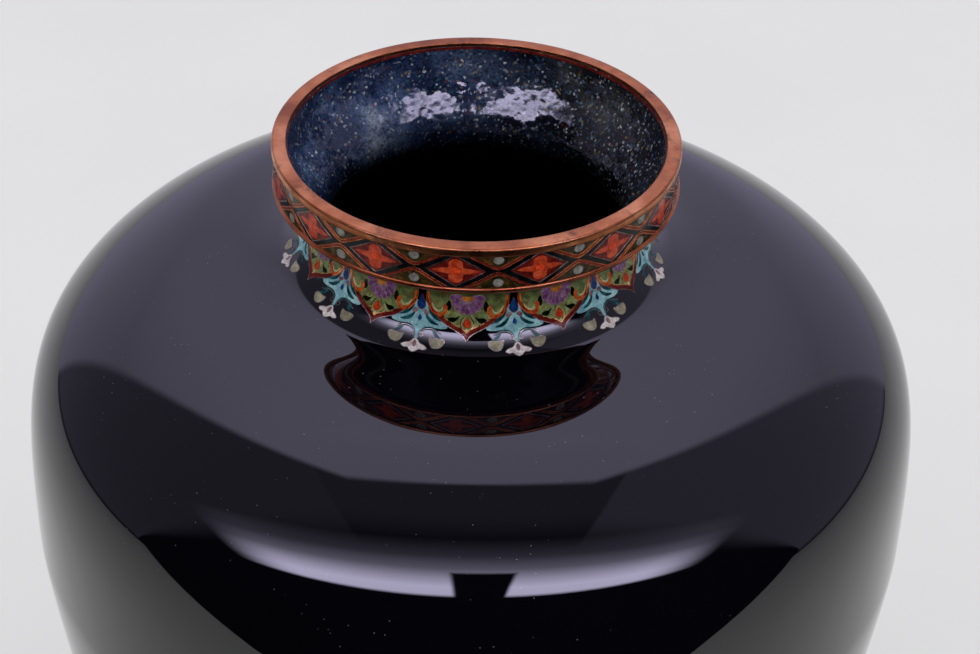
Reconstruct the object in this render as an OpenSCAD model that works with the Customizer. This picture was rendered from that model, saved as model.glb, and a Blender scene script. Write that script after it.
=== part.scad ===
// Shouldered cloisonne vase: a copper core in five brazed pieces, glass enamel on both faces,
// copper mounts at the rim and foot, and two bands of wired cells round the neck.
// Frame: axis on Z, foot on z = 0, rim at z = height. Millimetres.

/* [Body] */
// Height from the foot to the top of the rim
height = 248; // [244:1:254]
// Radius at the widest part of the body
belly_r = 83; // [80:1:86]
// Height of the widest part above the foot
belly_z = 172; // [168:1:176]
// Radius of the body where it meets the foot
base_r = 53; // [50:1:56]

/* [Neck] */
// Outer radius of the copper rim
rim_r = 36; // [35.5:0.1:36.5]
// Height of the copper rim
rim_h = 1.1; // [1:0.1:1.4]
// Height of the lattice band under the rim
band_h = 7.2; // [6.8:0.1:7.6]
// Outer radius of the neck's waist
waist_r = 29.6; // [29:0.1:30]
// Inner radius of the throat
throat_r = 26.2; // [26:0.1:26.6]

/* [Wall] */
// Thickness of the outer enamel
ground_t = 0.8; // [0.6:0.1:1]
// Thickness of the copper
copper_t = 0.9; // [0.8:0.1:1.1]
// Thickness of the counter enamel inside
counter_t = 0.8; // [0.6:0.1:1]

/* [Pattern] */
// Width of the cloison wires
wire_w = 0.28; // [0.2:0.02:0.36]
// Number of lozenges round the lattice band
lozenges = 16; // [14:1:18]
// Number of lappets round the neck
lappets = 12; // [11:1:12]

/* [Hidden] */
$fn = 32;

band_r = rim_r - 0.3; // outside of the lattice band
band_top = height - rim_h;
band_foot = band_top - band_h;
waist_z = height - 13;
throat_z = height - 17;
root_r = rim_r; // where the neck has run out into the shoulder
root_z = height - 22.7;
foot_top = 9;
hip_r = belly_r - 8; // where the flat of the shoulder turns down
hip_z = height - 38;
lining_top = height - 0.7; // the lining laps up inside the rim
lozenge_turn = -94.9; // azimuth of the first lozenge
lappet_turn = -92; // azimuth of the first lappet
lozenge_w = 360 / lozenges * PI / 180 * band_r;
lappet_pitch = 360 / lappets;
d_copper = ground_t; // depths of the layers under the outside
d_lining = ground_t + copper_t;
d_inside = ground_t + copper_t + counter_t;
copper = [0.66, 0.36, 0.24];
dark_enamel = [0.035, 0.03, 0.07];
lining_blue = [0.10, 0.13, 0.28];

// ---- curves ----
function bezier(a, b, c, d, n = 6) =
    [for (i = [0:n]) let (t = i / n, s = 1 - t) s*s*s*a + 3*s*s*t*b + 3*s*t*t*c + t*t*t*d];
function reverse(list) = [for (i = [len(list) - 1:-1:0]) list[i]];
function tail(list) = [for (i = [1:len(list) - 1]) list[i]];
function part(list, from, to) = [for (i = [from:to]) list[i]];
function shift(list, by) = [for (p = list) p + by];
function arc(r, from, to, n) = [for (i = [0:n]) let (a = from + (to - from) * i / n) r * [cos(a), sin(a)]];
function oval(rx, ry, n = 8) = [for (i = [0:n - 1]) let (a = 360 * (i + 0.5) / n) [rx * cos(a), ry * sin(a)]];
function both_sides(half) = concat(half, reverse([for (p = half) [p.x, -p.y]]));

// ---- outside profile, [radius, height], from the top of the band to the foot ----
band_path = [[band_r, band_top], [band_r, band_foot]];
under_path =
    bezier([band_r, band_foot], [band_r, band_foot - 2], [waist_r, band_foot - 0.8], [waist_r, waist_z]);
flare_path =
    bezier([waist_r, waist_z], [waist_r, waist_z - 4.5], [root_r - 4.2, root_z + 0.7], [root_r, root_z]);
flat_path =
    bezier([root_r, root_z], [root_r + 20, root_z - 3.4], [hip_r - 9, hip_z + 9], [hip_r, hip_z], 10);
hip_path = bezier([hip_r, hip_z], [belly_r - 0.5, hip_z - 7.5], [belly_r, belly_z + 24], [belly_r, belly_z], 14);
dome_path = concat(flat_path, tail(hip_path));
lower_path = bezier([belly_r, belly_z], [belly_r, belly_z - 15], [base_r + 15, 60], [base_r, foot_top], 20);
outside = concat(band_path, tail(under_path), tail(flare_path), tail(dome_path), tail(lower_path));
root = len(band_path) + len(under_path) + len(flare_path) - 3;
belly = root + len(dome_path) - 1;
end = len(outside) - 1;

// The outside path moved into the wall; the points where pieces meet and the last one stay level.
function inset(d) = [for (i = [0:end])
    let (t = outside[min(i + 1, end)] - outside[max(i - 1, 0)])
    outside[i] + (i == end || i == 0 ? [-d, 0] : d * [t.y, -t.x] / norm(t))];
function skin(d, from, to) = part(inset(d), from, to);

// The inside of the neck: a bowl that closes to the throat and opens again below it.
function neck_inside(d) = let (e = d_inside - d, last = inset(d)[root])
    concat([[band_r - d, band_top]],
        tail(bezier([band_r - d, band_top], [band_r - d, height - 9], [throat_r + e, height - 11],
            [throat_r + e, throat_z])),
        tail(bezier([throat_r + e, throat_z], [throat_r + e, throat_z - 4.5],
            [last.x - 6, last.y + 0.8], last)));

module ring_of(outer, inner) { rotate_extrude() polygon(concat(outer, reverse(inner))); }
module wall(from, to, d0, d1) { ring_of(skin(d0, from, to), skin(d1, from, to)); }

// ---- copper ----
module copper_neck() { color(copper) ring_of(skin(d_copper, 0, root), neck_inside(d_lining)); }
module copper_shoulder() { color(copper) wall(root, belly, d_copper, d_lining); }
module copper_body() { color(copper) wall(belly, end, d_copper, d_lining); }

seat_r = base_r - 4; // recess for the base disc
module disc(r, z, h) { translate([0, 0, z]) cylinder(r = r, h = h, $fn = 96); }
module base_disc() { color(copper) disc(seat_r - 0.05, 6, 1); }

lip_r = band_r - d_inside + 0.2; // inside of the rim
module rim_ring() {
    color([0.72, 0.40, 0.27])
        rotate_extrude()
            polygon(concat(
                [[lip_r, lining_top], [lip_r, height]],
                shift(arc(0.6, 90, 0, 6), [rim_r - 0.6, height - 0.6]),
                [[rim_r, band_top + 0.3], [band_r, band_top], [band_r - d_lining, band_top],
                 [band_r - d_lining, lining_top]]));
}

bead_r = 0.37;
module neck_bead() {
    color([0.72, 0.38, 0.22])
        rotate_extrude() polygon(shift(arc(bead_r, -90, 90, 8), [band_r, band_foot]));
}

module foot_ring() {
    out = base_r + 1;
    color(copper)
        rotate_extrude()
            polygon(concat(
                [[seat_r - 1.5, 0.5], [seat_r - 1, 0], [out - 1.2, 0]],
                shift(arc(1.2, -90, 0, 4), [out - 1.2, 1.2]),
                [[out, foot_top - 1.4], [base_r, foot_top], [base_r - d_inside, foot_top],
                 [base_r - d_inside, 7], [seat_r, 7], [seat_r, 6], [seat_r - 1.5, 6]]));
}

// ---- enamel of revolution: outside, inside and under the base ----
module ground_enamel() { color(dark_enamel) wall(root, end, 0, ground_t); }
module lining_neck() {
    color(lining_blue)
        ring_of(concat([[band_r - d_lining, lining_top]], neck_inside(d_lining)),
            concat([[band_r - d_inside, lining_top]], neck_inside(d_inside)));
}
module lining_shoulder() { color(lining_blue) wall(root, belly, d_lining, d_inside); }
module lining_body() { color(lining_blue) wall(belly, end, d_lining, d_inside); }
module lining_floor() { color(lining_blue) disc(base_r - d_inside - 0.1, 7, 0.8); }
module base_enamel() { color(lining_blue) disc(seat_r - 1.55, 5.2, 0.8); }

// ---- lattice band: outlines are [across, up] from the middle of a lozenge ----
band_mid = band_foot + bead_r + (band_h - bead_r) / 2;
band_half = (band_h - bead_r) / 2;
lozenge = [[lozenge_w * 0.355, 0], [0, band_half * 0.87], [-lozenge_w * 0.355, 0], [0, -band_half * 0.87]];

module lozenge_cut() { polygon(lozenge); }
module flower_cut() {
    polygon([for (i = [0:15]) let (a = i * 22.5, r = [1, 0.86, 0.36, 0.8][i % 4], w = i % 8 == 0 ? 2.5 : 2.1)
        r * [w * cos(a), 1.6 * sin(a)]]);
}
module heart_dot_cut() { polygon(oval(0.5, 0.4)); }
module triangle_cut() {
    side = lozenge_w * 0.33;
    polygon([[0, 0.5], [side, band_half + 0.01], [-side, band_half + 0.01]]);
}
module dot_cut() {
    polygon([[-1.1, band_half + 0.1], [-0.85, band_half - 0.6], [0, band_half - 1], [0.85, band_half - 0.6],
        [1.1, band_half + 0.1]]);
}

// Sets an outline into the band's enamel, once per lozenge (at = 0) or per meeting point (at = 0.5).
module through_band(at = 0) {
    for (k = [0:lozenges - 1])
        rotate(lozenge_turn + (k + at) * 360 / lozenges)
            translate([band_r - 2, 0, band_mid]) rotate([90, 0, 90]) linear_extrude(height = 3) children();
}
module band_layer() { wall(0, 1, 0, ground_t); }
module on_band(at = 0) { intersection() { band_layer(); through_band(at) children(); } }
module up_and_down() { children(); mirror([0, 1]) children(); }
module wire_in() { difference() { children(); offset(delta = -wire_w) children(); } }
module inside_wire() { offset(delta = -wire_w) children(); }

module band_ground() {
    color([0.02, 0.02, 0.03])
        difference() {
            band_layer();
            through_band() lozenge_cut();
            through_band(0.5) up_and_down() triangle_cut();
        }
}
module lozenge_wires() { color([0.75, 0.72, 0.68]) on_band() wire_in() lozenge_cut(); }
module lozenge_fields() {
    color([0.30, 0.03, 0.03]) on_band() difference() { inside_wire() lozenge_cut(); flower_cut(); }
}
module lozenge_flowers() {
    color([0.78, 0.20, 0.07]) on_band() difference() { flower_cut(); heart_dot_cut(); }
}
module lozenge_hearts() { color([0.85, 0.25, 0.08]) on_band() heart_dot_cut(); }
module lattice_wires() { color([0.72, 0.40, 0.22]) on_band(0.5) up_and_down() wire_in() triangle_cut(); }
module lattice_cells() {
    color([0.22, 0.22, 0.08])
        on_band(0.5) up_and_down() difference() { inside_wire() triangle_cut(); dot_cut(); }
}
module lattice_dots() {
    color([0.55, 0.52, 0.58])
        on_band(0.5) up_and_down() intersection() { inside_wire() triangle_cut(); dot_cut(); }
}

// ---- collar of lappets: outlines are [down the slope, across], on a plane at 45 degrees to the axis ----
slope_z = height - 12; // where that plane meets the waist's radius
border_w = 0.75;
scroll_end = 4; // above this the border is a scroll
lappet_half = concat([[-0.8, 7.0], [1.3, 6.9], [2.6, 6.4], [4.1, 5.4]],
    tail(bezier([4.1, 5.4], [5.6, 4.3], [7.3, 1.5], [8.5, 0], 5)));

module lappet_cut() { polygon(both_sides(lappet_half)); }
module border_inner() { offset(delta = -border_w) lappet_cut(); }
module field_inner() { offset(delta = -border_w - wire_w) lappet_cut(); }
module upper_half() { translate([-2, -9]) square([scroll_end + 2, 18]); }
module hook_cut() {
    intersection() {
        field_inner();
        for (s = [-1, 1])
            polygon([[3.75, s * 4.9], [3.55, s * 3.4], [2.4, s * 3.05], [2.5, s * 3.45], [3.1, s * 3.7],
                [3.2, s * 4.9]]);
    }
}
module blossom_cut() {
    polygon([for (i = [0:18]) let (a = -90 + i * 10, r = i % 2 == 0 ? 0.84 : 1)
        [1.1 + 2.3 * r * cos(a), 2.75 * r * sin(a)]]);
}
module heart_cut() { polygon(shift([for (a = [-90:36:90]) [0.75 * cos(a), 0.85 * sin(a)]], [1.1, 0])); }
module leaf_cut() {
    for (s = [-1, 1])
        polygon([[4.0, s * 3.2], [4.2, s * 1.9], [4.9, s * 1.9], [5.1, s * 2.5], [4.6, s * 3.0]]);
}
module drop_cut() { polygon(both_sides([[4.4, 0.05], [5.3, 0.62], [5.8, 0.62], [6.2, 0.3]])); }

module panel_cut() {
    polygon(both_sides([[1.5, 0.4], [3.0, 1.0], [4.4, 1.6], [5.4, 2.7], [6.0, 2.8], [6.3, 1.5], [6.9, 0.42],
        [8.0, 0.15]]));
}
module jewel_cut() {
    polygon(both_sides([[2.0, 0.15], [3.2, 0.7], [3.9, 0.6], [4.2, 0.2]]));
    for (s = [-1, 0, 1]) translate([5.0 + (s == 0 ? 0.4 : 0), s * 1.2]) polygon(oval(0.45, 0.4, 6));
}
module stem_cut() {
    for (s = [-1, 1])
        polygon([[8.2, s * 0.3], [7.1, s * 0.55], [6.55, s * 1.6], [6.35, s * 2.8], [6.6, s * 3.6],
            [7.2, s * 4.3], [7.3, s * 3.9], [7.0, s * 3.4], [6.8, s * 2.6], [7.0, s * 1.7],
            [7.5, s * 1.0], [8.2, s * 0.7]]);
}
module trefoil_cut() {
    polygon(both_sides([[8.55, 0.45], [9.2, 0.85], [9.55, 1.75], [9.95, 1.75], [10.1, 0.95], [10.5, 0.45]]));
}
module seed_cut() { polygon(shift(oval(0.5, 0.36), [9.25, 0])); }
module petal_cut() {
    for (s = [-1, 1])
        polygon([[7.7, s * 2.9], [8.4, s * 2.3], [9.0, s * 2.5], [9.25, s * 3.3], [9.0, s * 4.1],
            [8.3, s * 4.3]]);
}

// Sets an outline into the collar's enamel, once per lappet (at = 0) or between lappets (at = 0.5).
module through_slope(at = 0) {
    for (k = [0:lappets - 1])
        rotate(lappet_turn + (k + at) * lappet_pitch)
            translate([waist_r, 0, slope_z]) rotate([0, 45, 0]) translate([0, 0, -9])
                linear_extrude(height = 10) children();
}
module slope_layer() { wall(1, root, 0, ground_t); }
module on_slope(at = 0) { intersection() { slope_layer(); through_slope(at) children(); } }
module wire_round() { difference() { offset(delta = wire_w) children(); children(); } }

module collar_ground() {
    color(dark_enamel)
        difference() {
            slope_layer();
            through_slope() offset(delta = wire_w) lappet_cut();
            through_slope(0.5) {
                panel_cut();
                stem_cut();
                offset(delta = wire_w) trefoil_cut();
                offset(delta = wire_w) petal_cut();
            }
        }
}
module lappet_outer_wires() { color([0.74, 0.66, 0.60]) on_slope() wire_round() lappet_cut(); }
module lappet_inner_wires() {
    color([0.74, 0.48, 0.28]) on_slope() difference() { border_inner(); field_inner(); }
}
module lappet_borders() {
    color([0.32, 0.06, 0.05]) on_slope() difference() { lappet_cut(); border_inner(); upper_half(); }
}
module lappet_scrolls() {
    color([0.70, 0.25, 0.10])
        on_slope() {
            intersection() { difference() { lappet_cut(); border_inner(); } upper_half(); }
            hook_cut();
        }
}
module lappet_fields() {
    color([0.42, 0.47, 0.28])
        on_slope() difference() {
            field_inner();
            blossom_cut();
            leaf_cut();
            drop_cut();
            hook_cut();
        }
}
module lappet_blossoms() { color([0.30, 0.14, 0.30]) on_slope() difference() { blossom_cut(); heart_cut(); } }
module lappet_hearts() { color([0.80, 0.38, 0.12]) on_slope() heart_cut(); }
module lappet_leaves() { color([0.02, 0.04, 0.02]) on_slope() leaf_cut(); }
module lappet_drops() { color([0.78, 0.16, 0.05]) on_slope() drop_cut(); }
module panel_fields() {
    color([0.36, 0.60, 0.68])
        difference() {
            on_slope(0.5) difference() { panel_cut(); jewel_cut(); }
            through_slope() offset(delta = wire_w) lappet_cut();
        }
}
module panel_jewels() { color([0.06, 0.14, 0.40]) on_slope(0.5) jewel_cut(); }
module pendant_stems() { color([0.08, 0.30, 0.32]) on_slope(0.5) stem_cut(); }
module pendant_trefoils() {
    color([0.86, 0.84, 0.84]) on_slope(0.5) difference() { trefoil_cut(); seed_cut(); }
}
module pendant_seeds() { color([0.50, 0.36, 0.40]) on_slope(0.5) seed_cut(); }
module pendant_petals() { color([0.58, 0.56, 0.50]) on_slope(0.5) petal_cut(); }
module pendant_wires() {
    color([0.80, 0.80, 0.80]) on_slope(0.5) { wire_round() trefoil_cut(); wire_round() petal_cut(); }
}

copper_neck();
copper_shoulder();
copper_body();
base_disc();
rim_ring();
neck_bead();
foot_ring();
ground_enamel();
collar_ground();
band_ground();
lining_neck();
lining_shoulder();
lining_body();
lining_floor();
base_enamel();
lozenge_fields();
lozenge_flowers();
lozenge_hearts();
lozenge_wires();
lattice_wires();
lattice_cells();
lattice_dots();
lappet_fields();
lappet_borders();
lappet_outer_wires();
lappet_inner_wires();
lappet_scrolls();
lappet_blossoms();
lappet_hearts();
lappet_leaves();
lappet_drops();
panel_fields();
panel_jewels();
pendant_stems();
pendant_trefoils();
pendant_seeds();
pendant_petals();
pendant_wires();
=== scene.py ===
import bisect
import math

import bpy
from mathutils import Matrix, Vector
from mathutils.geometry import delaunay_2d_cdt


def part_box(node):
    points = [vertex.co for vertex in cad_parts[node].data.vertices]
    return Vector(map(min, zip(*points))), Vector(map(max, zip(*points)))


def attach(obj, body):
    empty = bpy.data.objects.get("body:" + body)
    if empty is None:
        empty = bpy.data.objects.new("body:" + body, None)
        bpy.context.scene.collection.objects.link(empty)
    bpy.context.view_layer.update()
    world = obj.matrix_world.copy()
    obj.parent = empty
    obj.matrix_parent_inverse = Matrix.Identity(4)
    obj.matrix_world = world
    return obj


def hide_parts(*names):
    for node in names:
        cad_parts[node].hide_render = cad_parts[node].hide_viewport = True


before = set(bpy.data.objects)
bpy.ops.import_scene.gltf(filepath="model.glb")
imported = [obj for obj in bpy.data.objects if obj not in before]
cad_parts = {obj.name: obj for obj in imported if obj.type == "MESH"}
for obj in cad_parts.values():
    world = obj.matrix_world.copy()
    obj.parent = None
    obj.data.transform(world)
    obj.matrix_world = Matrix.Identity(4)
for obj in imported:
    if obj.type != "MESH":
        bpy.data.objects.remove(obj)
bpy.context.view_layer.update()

# A shouldered cloisonne vase: polished midnight ground, copper rim, a lattice band under the rim
# and a collar of lappets with pendants between them. Lengths are in millimetres up to the mesh.

MM = 0.001
SEGMENTS = 256

# ---------------------------------------------------------------- sizes from the frame


def box_mm(node):
    low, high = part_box(node)
    return [c / MM for c in low], [c / MM for c in high]


RIM_R = box_mm("rim_ring")[1][0]
HEIGHT = box_mm("rim_ring")[1][2]
BAND_R = box_mm("band_ground")[1][0]
BAND_TOP = box_mm("band_ground")[1][2]
BAND_FOOT = box_mm("band_ground")[0][2]
BEAD_R = box_mm("neck_bead")[1][0] - BAND_R
BAND_MID = (BAND_FOOT + BEAD_R + BAND_TOP) / 2
BAND_HALF = BAND_TOP - BAND_MID
BELLY_R = box_mm("ground_enamel")[1][0]
BELLY_Z = box_mm("copper_body")[1][2]
FOOT_TOP = box_mm("ground_enamel")[0][2]
FOOT_LIP = 1
BASE_R = box_mm("foot_ring")[1][0] - FOOT_LIP

# The neck's narrowest place outside and inside, its root in the shoulder, and the shoulder's bend.
WAIST_R = 29.6
WAIST_Z = HEIGHT - 13
THROAT_R = 26.2
THROAT_Z = HEIGHT - 17
ROOT_R = RIM_R
ROOT_Z = HEIGHT - 22.7
HIP_R = BELLY_R - 8
HIP_Z = HEIGHT - 38
LINING_TOP = HEIGHT - 0.7

# The wall's layers, from the outside in.
GROUND_T = 0.8
COPPER_T = 0.9
LINING_T = 0.8
TO_LINING = GROUND_T + COPPER_T
TO_INSIDE = TO_LINING + LINING_T

# The ornament's repeats, in degrees round the axis, and the height that the collar's outlines hang from.
LOZENGES = 16
LOZENGE_TURN = -94.9
LAPPETS = 12
LAPPET_TURN = -92
SLOPE_Z = HEIGHT - 12

# ---------------------------------------------------------------- curves and outlines


def bezier(a, b, c, d, steps):
    points = []
    for i in range(steps + 1):
        t = i / steps
        s = 1 - t
        weights = (s * s * s, 3 * s * s * t, 3 * s * t * t, t * t * t)
        corners = (a, b, c, d)
        points.append(tuple(sum(w * p[k] for w, p in zip(weights, corners)) for k in (0, 1)))
    return points


def spline(points, steps=5, closed=False):
    """A smooth curve through the points."""
    last = len(points) - 1
    out = []
    for i in range(last + 1 if closed else last):
        if closed:
            p = [points[(i + k) % len(points)] for k in (-1, 0, 1, 2)]
        else:
            p = [points[max(0, i - 1)], points[i], points[i + 1], points[min(last, i + 2)]]
        for k in range(steps):
            t = k / steps
            out.append(tuple(
                0.5 * (2 * p[1][j] + (p[2][j] - p[0][j]) * t
                       + (2 * p[0][j] - 5 * p[1][j] + 4 * p[2][j] - p[3][j]) * t * t
                       + (3 * p[1][j] - p[0][j] - 3 * p[2][j] + p[3][j]) * t * t * t)
                for j in (0, 1)))
    if not closed:
        out.append(points[-1])
    return out


def flip(points):
    """The same points on the other side of the middle line."""
    return [(-u, v) for u, v in points]


def both_sides(half):
    """A closed outline from its right half, listed from the top to the bottom."""
    other = [(-u, v) for u, v in reversed(half) if abs(u) > 1e-6]
    return list(half) + other


def oval(u, v, across, down, count=20):
    ring = []
    for i in range(count):
        a = 2 * math.pi * i / count
        ring.append((u + across * math.cos(a), v + down * math.sin(a)))
    return ring


def divide(points, step, closed):
    """Adds points so that none are further apart than step."""
    out = []
    count = len(points) if closed else len(points) - 1
    for i in range(count):
        a = points[i]
        b = points[(i + 1) % len(points)]
        parts = max(1, math.ceil(math.dist(a, b) / step))
        for k in range(parts):
            t = k / parts
            out.append((a[0] + (b[0] - a[0]) * t, a[1] + (b[1] - a[1]) * t))
    if not closed:
        out.append(points[-1])
    return out


def inside(point, outline):
    u, v = point
    found = False
    for a, b in zip(outline, outline[1:] + outline[:1]):
        if (a[1] > v) != (b[1] > v):
            if u < a[0] + (v - a[1]) * (b[0] - a[0]) / (b[1] - a[1]):
                found = not found
    return found


def cell(outline, step=0.45):
    """A flat mesh that fills a closed outline, with inner points so that it can follow a curve."""
    edge = divide(outline, step, True)
    inner = []
    low_u = min(p[0] for p in edge)
    low_v = min(p[1] for p in edge)
    rows = int((max(p[1] for p in edge) - low_v) / step) + 1
    columns = int((max(p[0] for p in edge) - low_u) / step) + 1
    for row in range(rows):
        for column in range(columns):
            spot = (low_u + (column + 0.5) * step, low_v + (row + 0.5) * step)
            if inside(spot, edge) and min(math.dist(spot, p) for p in edge) > step * 0.5:
                inner.append(spot)
    points = [Vector(p) for p in edge + inner]
    solved = delaunay_2d_cdt(points, [], [list(range(len(edge)))], 1, 1e-5)
    return [tuple(p) for p in solved[0]], [tuple(f) for f in solved[2]]


def ribbon(path, width, closed=False, step=0.4, taper=False):
    """A flat mesh that follows a path at an even width, or at one that runs out at both ends."""
    line = divide(path, step, closed)
    count = len(line)
    left = []
    right = []
    for i, point in enumerate(line):
        before = line[i - 1] if closed or i > 0 else line[i]
        after = line[(i + 1) % count] if closed or i < count - 1 else line[i]
        one = Vector((point[0] - before[0], point[1] - before[1]))
        two = Vector((after[0] - point[0], after[1] - point[1]))
        if one.length < 1e-9:
            one = two
        if two.length < 1e-9:
            two = one
        one = one.normalized()
        two = two.normalized()
        along = (one + two).normalized() if (one + two).length > 1e-6 else two
        mitre = 1 / max(0.6, along.dot(two))
        half = width / 2 * mitre
        if taper:
            half *= 0.15 + 0.85 * math.sin(math.pi * (i + 0.5) / count)
        left.append((point[0] - along.y * half, point[1] + along.x * half))
        right.append((point[0] + along.y * half, point[1] - along.x * half))
    faces = []
    for i in range(count if closed else count - 1):
        j = (i + 1) % count
        faces.append((i, j, count + j, count + i))
    return left + right, faces


# ---------------------------------------------------------------- the vase's own curves


def shoulder(steps):
    """From the root of the neck to the widest part: a short dip, a flat ring, then the bend."""
    ring = (ROOT_R + 14, ROOT_Z - 3.2)
    bend = (ROOT_R + 22, ROOT_Z - 5.03)
    dip = bezier((ROOT_R, ROOT_Z), (ROOT_R + 5, ROOT_Z - 1.92), (ring[0] - 7, ring[1] + 1.16), ring, steps)
    flat = bezier(ring, (ring[0] + 3, ring[1] - 0.5), (bend[0] - 3, bend[1] + 1.01), bend, steps)
    over = bezier(bend, (bend[0] + 5.5, bend[1] - 1.86), (HIP_R - 5, HIP_Z + 5), (HIP_R, HIP_Z), steps)
    hip = bezier((HIP_R, HIP_Z), (BELLY_R - 0.5, HIP_Z - 7.5), (BELLY_R, BELLY_Z + 24),
                 (BELLY_R, BELLY_Z), steps)
    return dip + flat[1:] + over[1:] + hip[1:]


def body_side(steps):
    return bezier((BELLY_R, BELLY_Z), (BELLY_R, BELLY_Z - 15), (BASE_R + 15, 60), (BASE_R, FOOT_TOP), steps)


def neck_side(steps):
    """From under the band in to the waist and out to the root."""
    under = bezier((BAND_R, BAND_FOOT), (BAND_R, BAND_FOOT - 2), (WAIST_R, BAND_FOOT - 0.8),
                   (WAIST_R, WAIST_Z), steps)
    flare = bezier((WAIST_R, WAIST_Z), (WAIST_R, WAIST_Z - 4.5), (ROOT_R - 3.2, ROOT_Z + 1.23),
                   (ROOT_R, ROOT_Z), steps)
    return under + flare[1:]


def neck_inside(depth, steps):
    """The inside of the neck: a bowl that closes to the throat and opens again below it."""
    e = TO_INSIDE - depth
    last = moved_in(shoulder(12), depth)[0]
    bowl = bezier((BAND_R - depth, BAND_TOP), (BAND_R - depth, HEIGHT - 9), (THROAT_R + e, HEIGHT - 11),
                  (THROAT_R + e, THROAT_Z), steps)
    under = bezier((THROAT_R + e, THROAT_Z), (THROAT_R + e, THROAT_Z - 4.5), (last[0] - 6, last[1] + 0.8),
                   last, steps)
    return bowl + under[1:]


def moved_in(path, depth):
    """A path that runs down the outside, moved into the wall."""
    out = []
    for i, point in enumerate(path):
        a = path[max(i - 1, 0)]
        b = path[min(i + 1, len(path) - 1)]
        along = Vector((b[0] - a[0], b[1] - a[1])).normalized()
        out.append((point[0] + along.y * depth, point[1] - along.x * depth))
    return out


def arc(centre_r, centre_z, radius, start, stop, steps):
    points = []
    for i in range(steps + 1):
        a = math.radians(start + (stop - start) * i / steps)
        points.append((centre_r + radius * math.cos(a), centre_z + radius * math.sin(a)))
    return points


# ---------------------------------------------------------------- where the ornament lies

NECK = neck_side(80)
NECK_Z = [-p[1] for p in NECK]


def neck_at(z):
    """Radius of the neck's surface at a height, and the slope of radius against height."""
    i = min(max(bisect.bisect_left(NECK_Z, -z), 1), len(NECK) - 1)
    (r0, z0), (r1, z1) = NECK[i - 1], NECK[i]
    t = (z - z0) / (z1 - z0) if z1 != z0 else 0
    a = NECK[max(i - 2, 0)]
    b = NECK[min(i + 1, len(NECK) - 1)]
    return r0 + (r1 - r0) * t, (b[0] - a[0]) / (b[1] - a[1])


def on_collar(point):
    """Angle, radius, height and outward direction where an outline's point meets the collar."""
    u, v = point
    half = math.sqrt(0.5)
    low, high = -9.0, 1.0
    for _ in range(30):
        middle = (low + high) / 2
        x = WAIST_R + (v + middle) * half
        z = SLOPE_Z + (middle - v) * half
        if math.hypot(x, u) > neck_at(z)[0]:
            high = middle
        else:
            low = middle
    radius, slope = neck_at(z)
    size = math.hypot(1, slope)
    return math.atan2(u, x), radius, z, (1 / size, -slope / size)


def on_band(point):
    """The same for the band, whose outlines are measured across and up."""
    u, v = point
    return u / BAND_R, BAND_R, BAND_MID + v, (1.0, 0.0)


COLLAR_TURNS = [LAPPET_TURN + 360 / LAPPETS * k for k in range(LAPPETS)]
PENDANT_TURNS = [turn + 180 / LAPPETS for turn in COLLAR_TURNS]
BAND_TURNS = [LOZENGE_TURN + 360 / LOZENGES * k for k in range(LOZENGES)]
MEETING_TURNS = [turn + 180 / LOZENGES for turn in BAND_TURNS]

# ---------------------------------------------------------------- making pieces


def finish_piece(name, points, faces, material, nodes, normals=None, flat_uv=None):
    """Makes the object, and says what it rides on, what it stands for and what its finish is."""
    mesh = bpy.data.meshes.new(name)
    mesh.from_pydata([Vector(p) * MM for p in points], [], faces)
    if flat_uv:
        layer = mesh.uv_layers.new(name="UVMap")
        for loop, uv in enumerate(flat_uv):
            layer.data[loop].uv = uv
    mesh.shade_smooth()
    if normals:
        mesh.normals_split_custom_set(normals)
    else:
        mesh.set_sharp_from_angle(angle=math.radians(38))
    piece = bpy.data.objects.new(name, mesh)
    bpy.context.scene.collection.objects.link(piece)
    mesh.materials.append(material)
    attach(piece, "root")
    if nodes:
        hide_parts(*nodes)
    return piece


def lathe(name, loop, material, nodes):
    """Turns a closed outline of (radius, height) round the axis."""
    area = sum(a[0] * b[1] - b[0] * a[1] for a, b in zip(loop, loop[1:] + loop[:1]))
    if area < 0:
        loop = loop[::-1]
    count = len(loop)
    run = [0.0]
    for a, b in zip(loop, loop[1:] + loop[:1]):
        run.append(run[-1] + math.dist(a, b))
    points = []
    for j in range(SEGMENTS):
        a = 2 * math.pi * j / SEGMENTS
        points += [(r * math.cos(a), r * math.sin(a), z) for r, z in loop]
    faces = []
    uvs = []
    for j in range(SEGMENTS):
        k = (j + 1) % SEGMENTS
        for i in range(count):
            n = (i + 1) % count
            faces.append((j * count + i, k * count + i, k * count + n, j * count + n))
            left = j / SEGMENTS
            right = (j + 1) / SEGMENTS
            uvs += [(left, run[i]), (right, run[i]), (right, run[i + 1]), (left, run[i + 1])]
    return finish_piece(name, points, faces, material, nodes, flat_uv=uvs)


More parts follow.
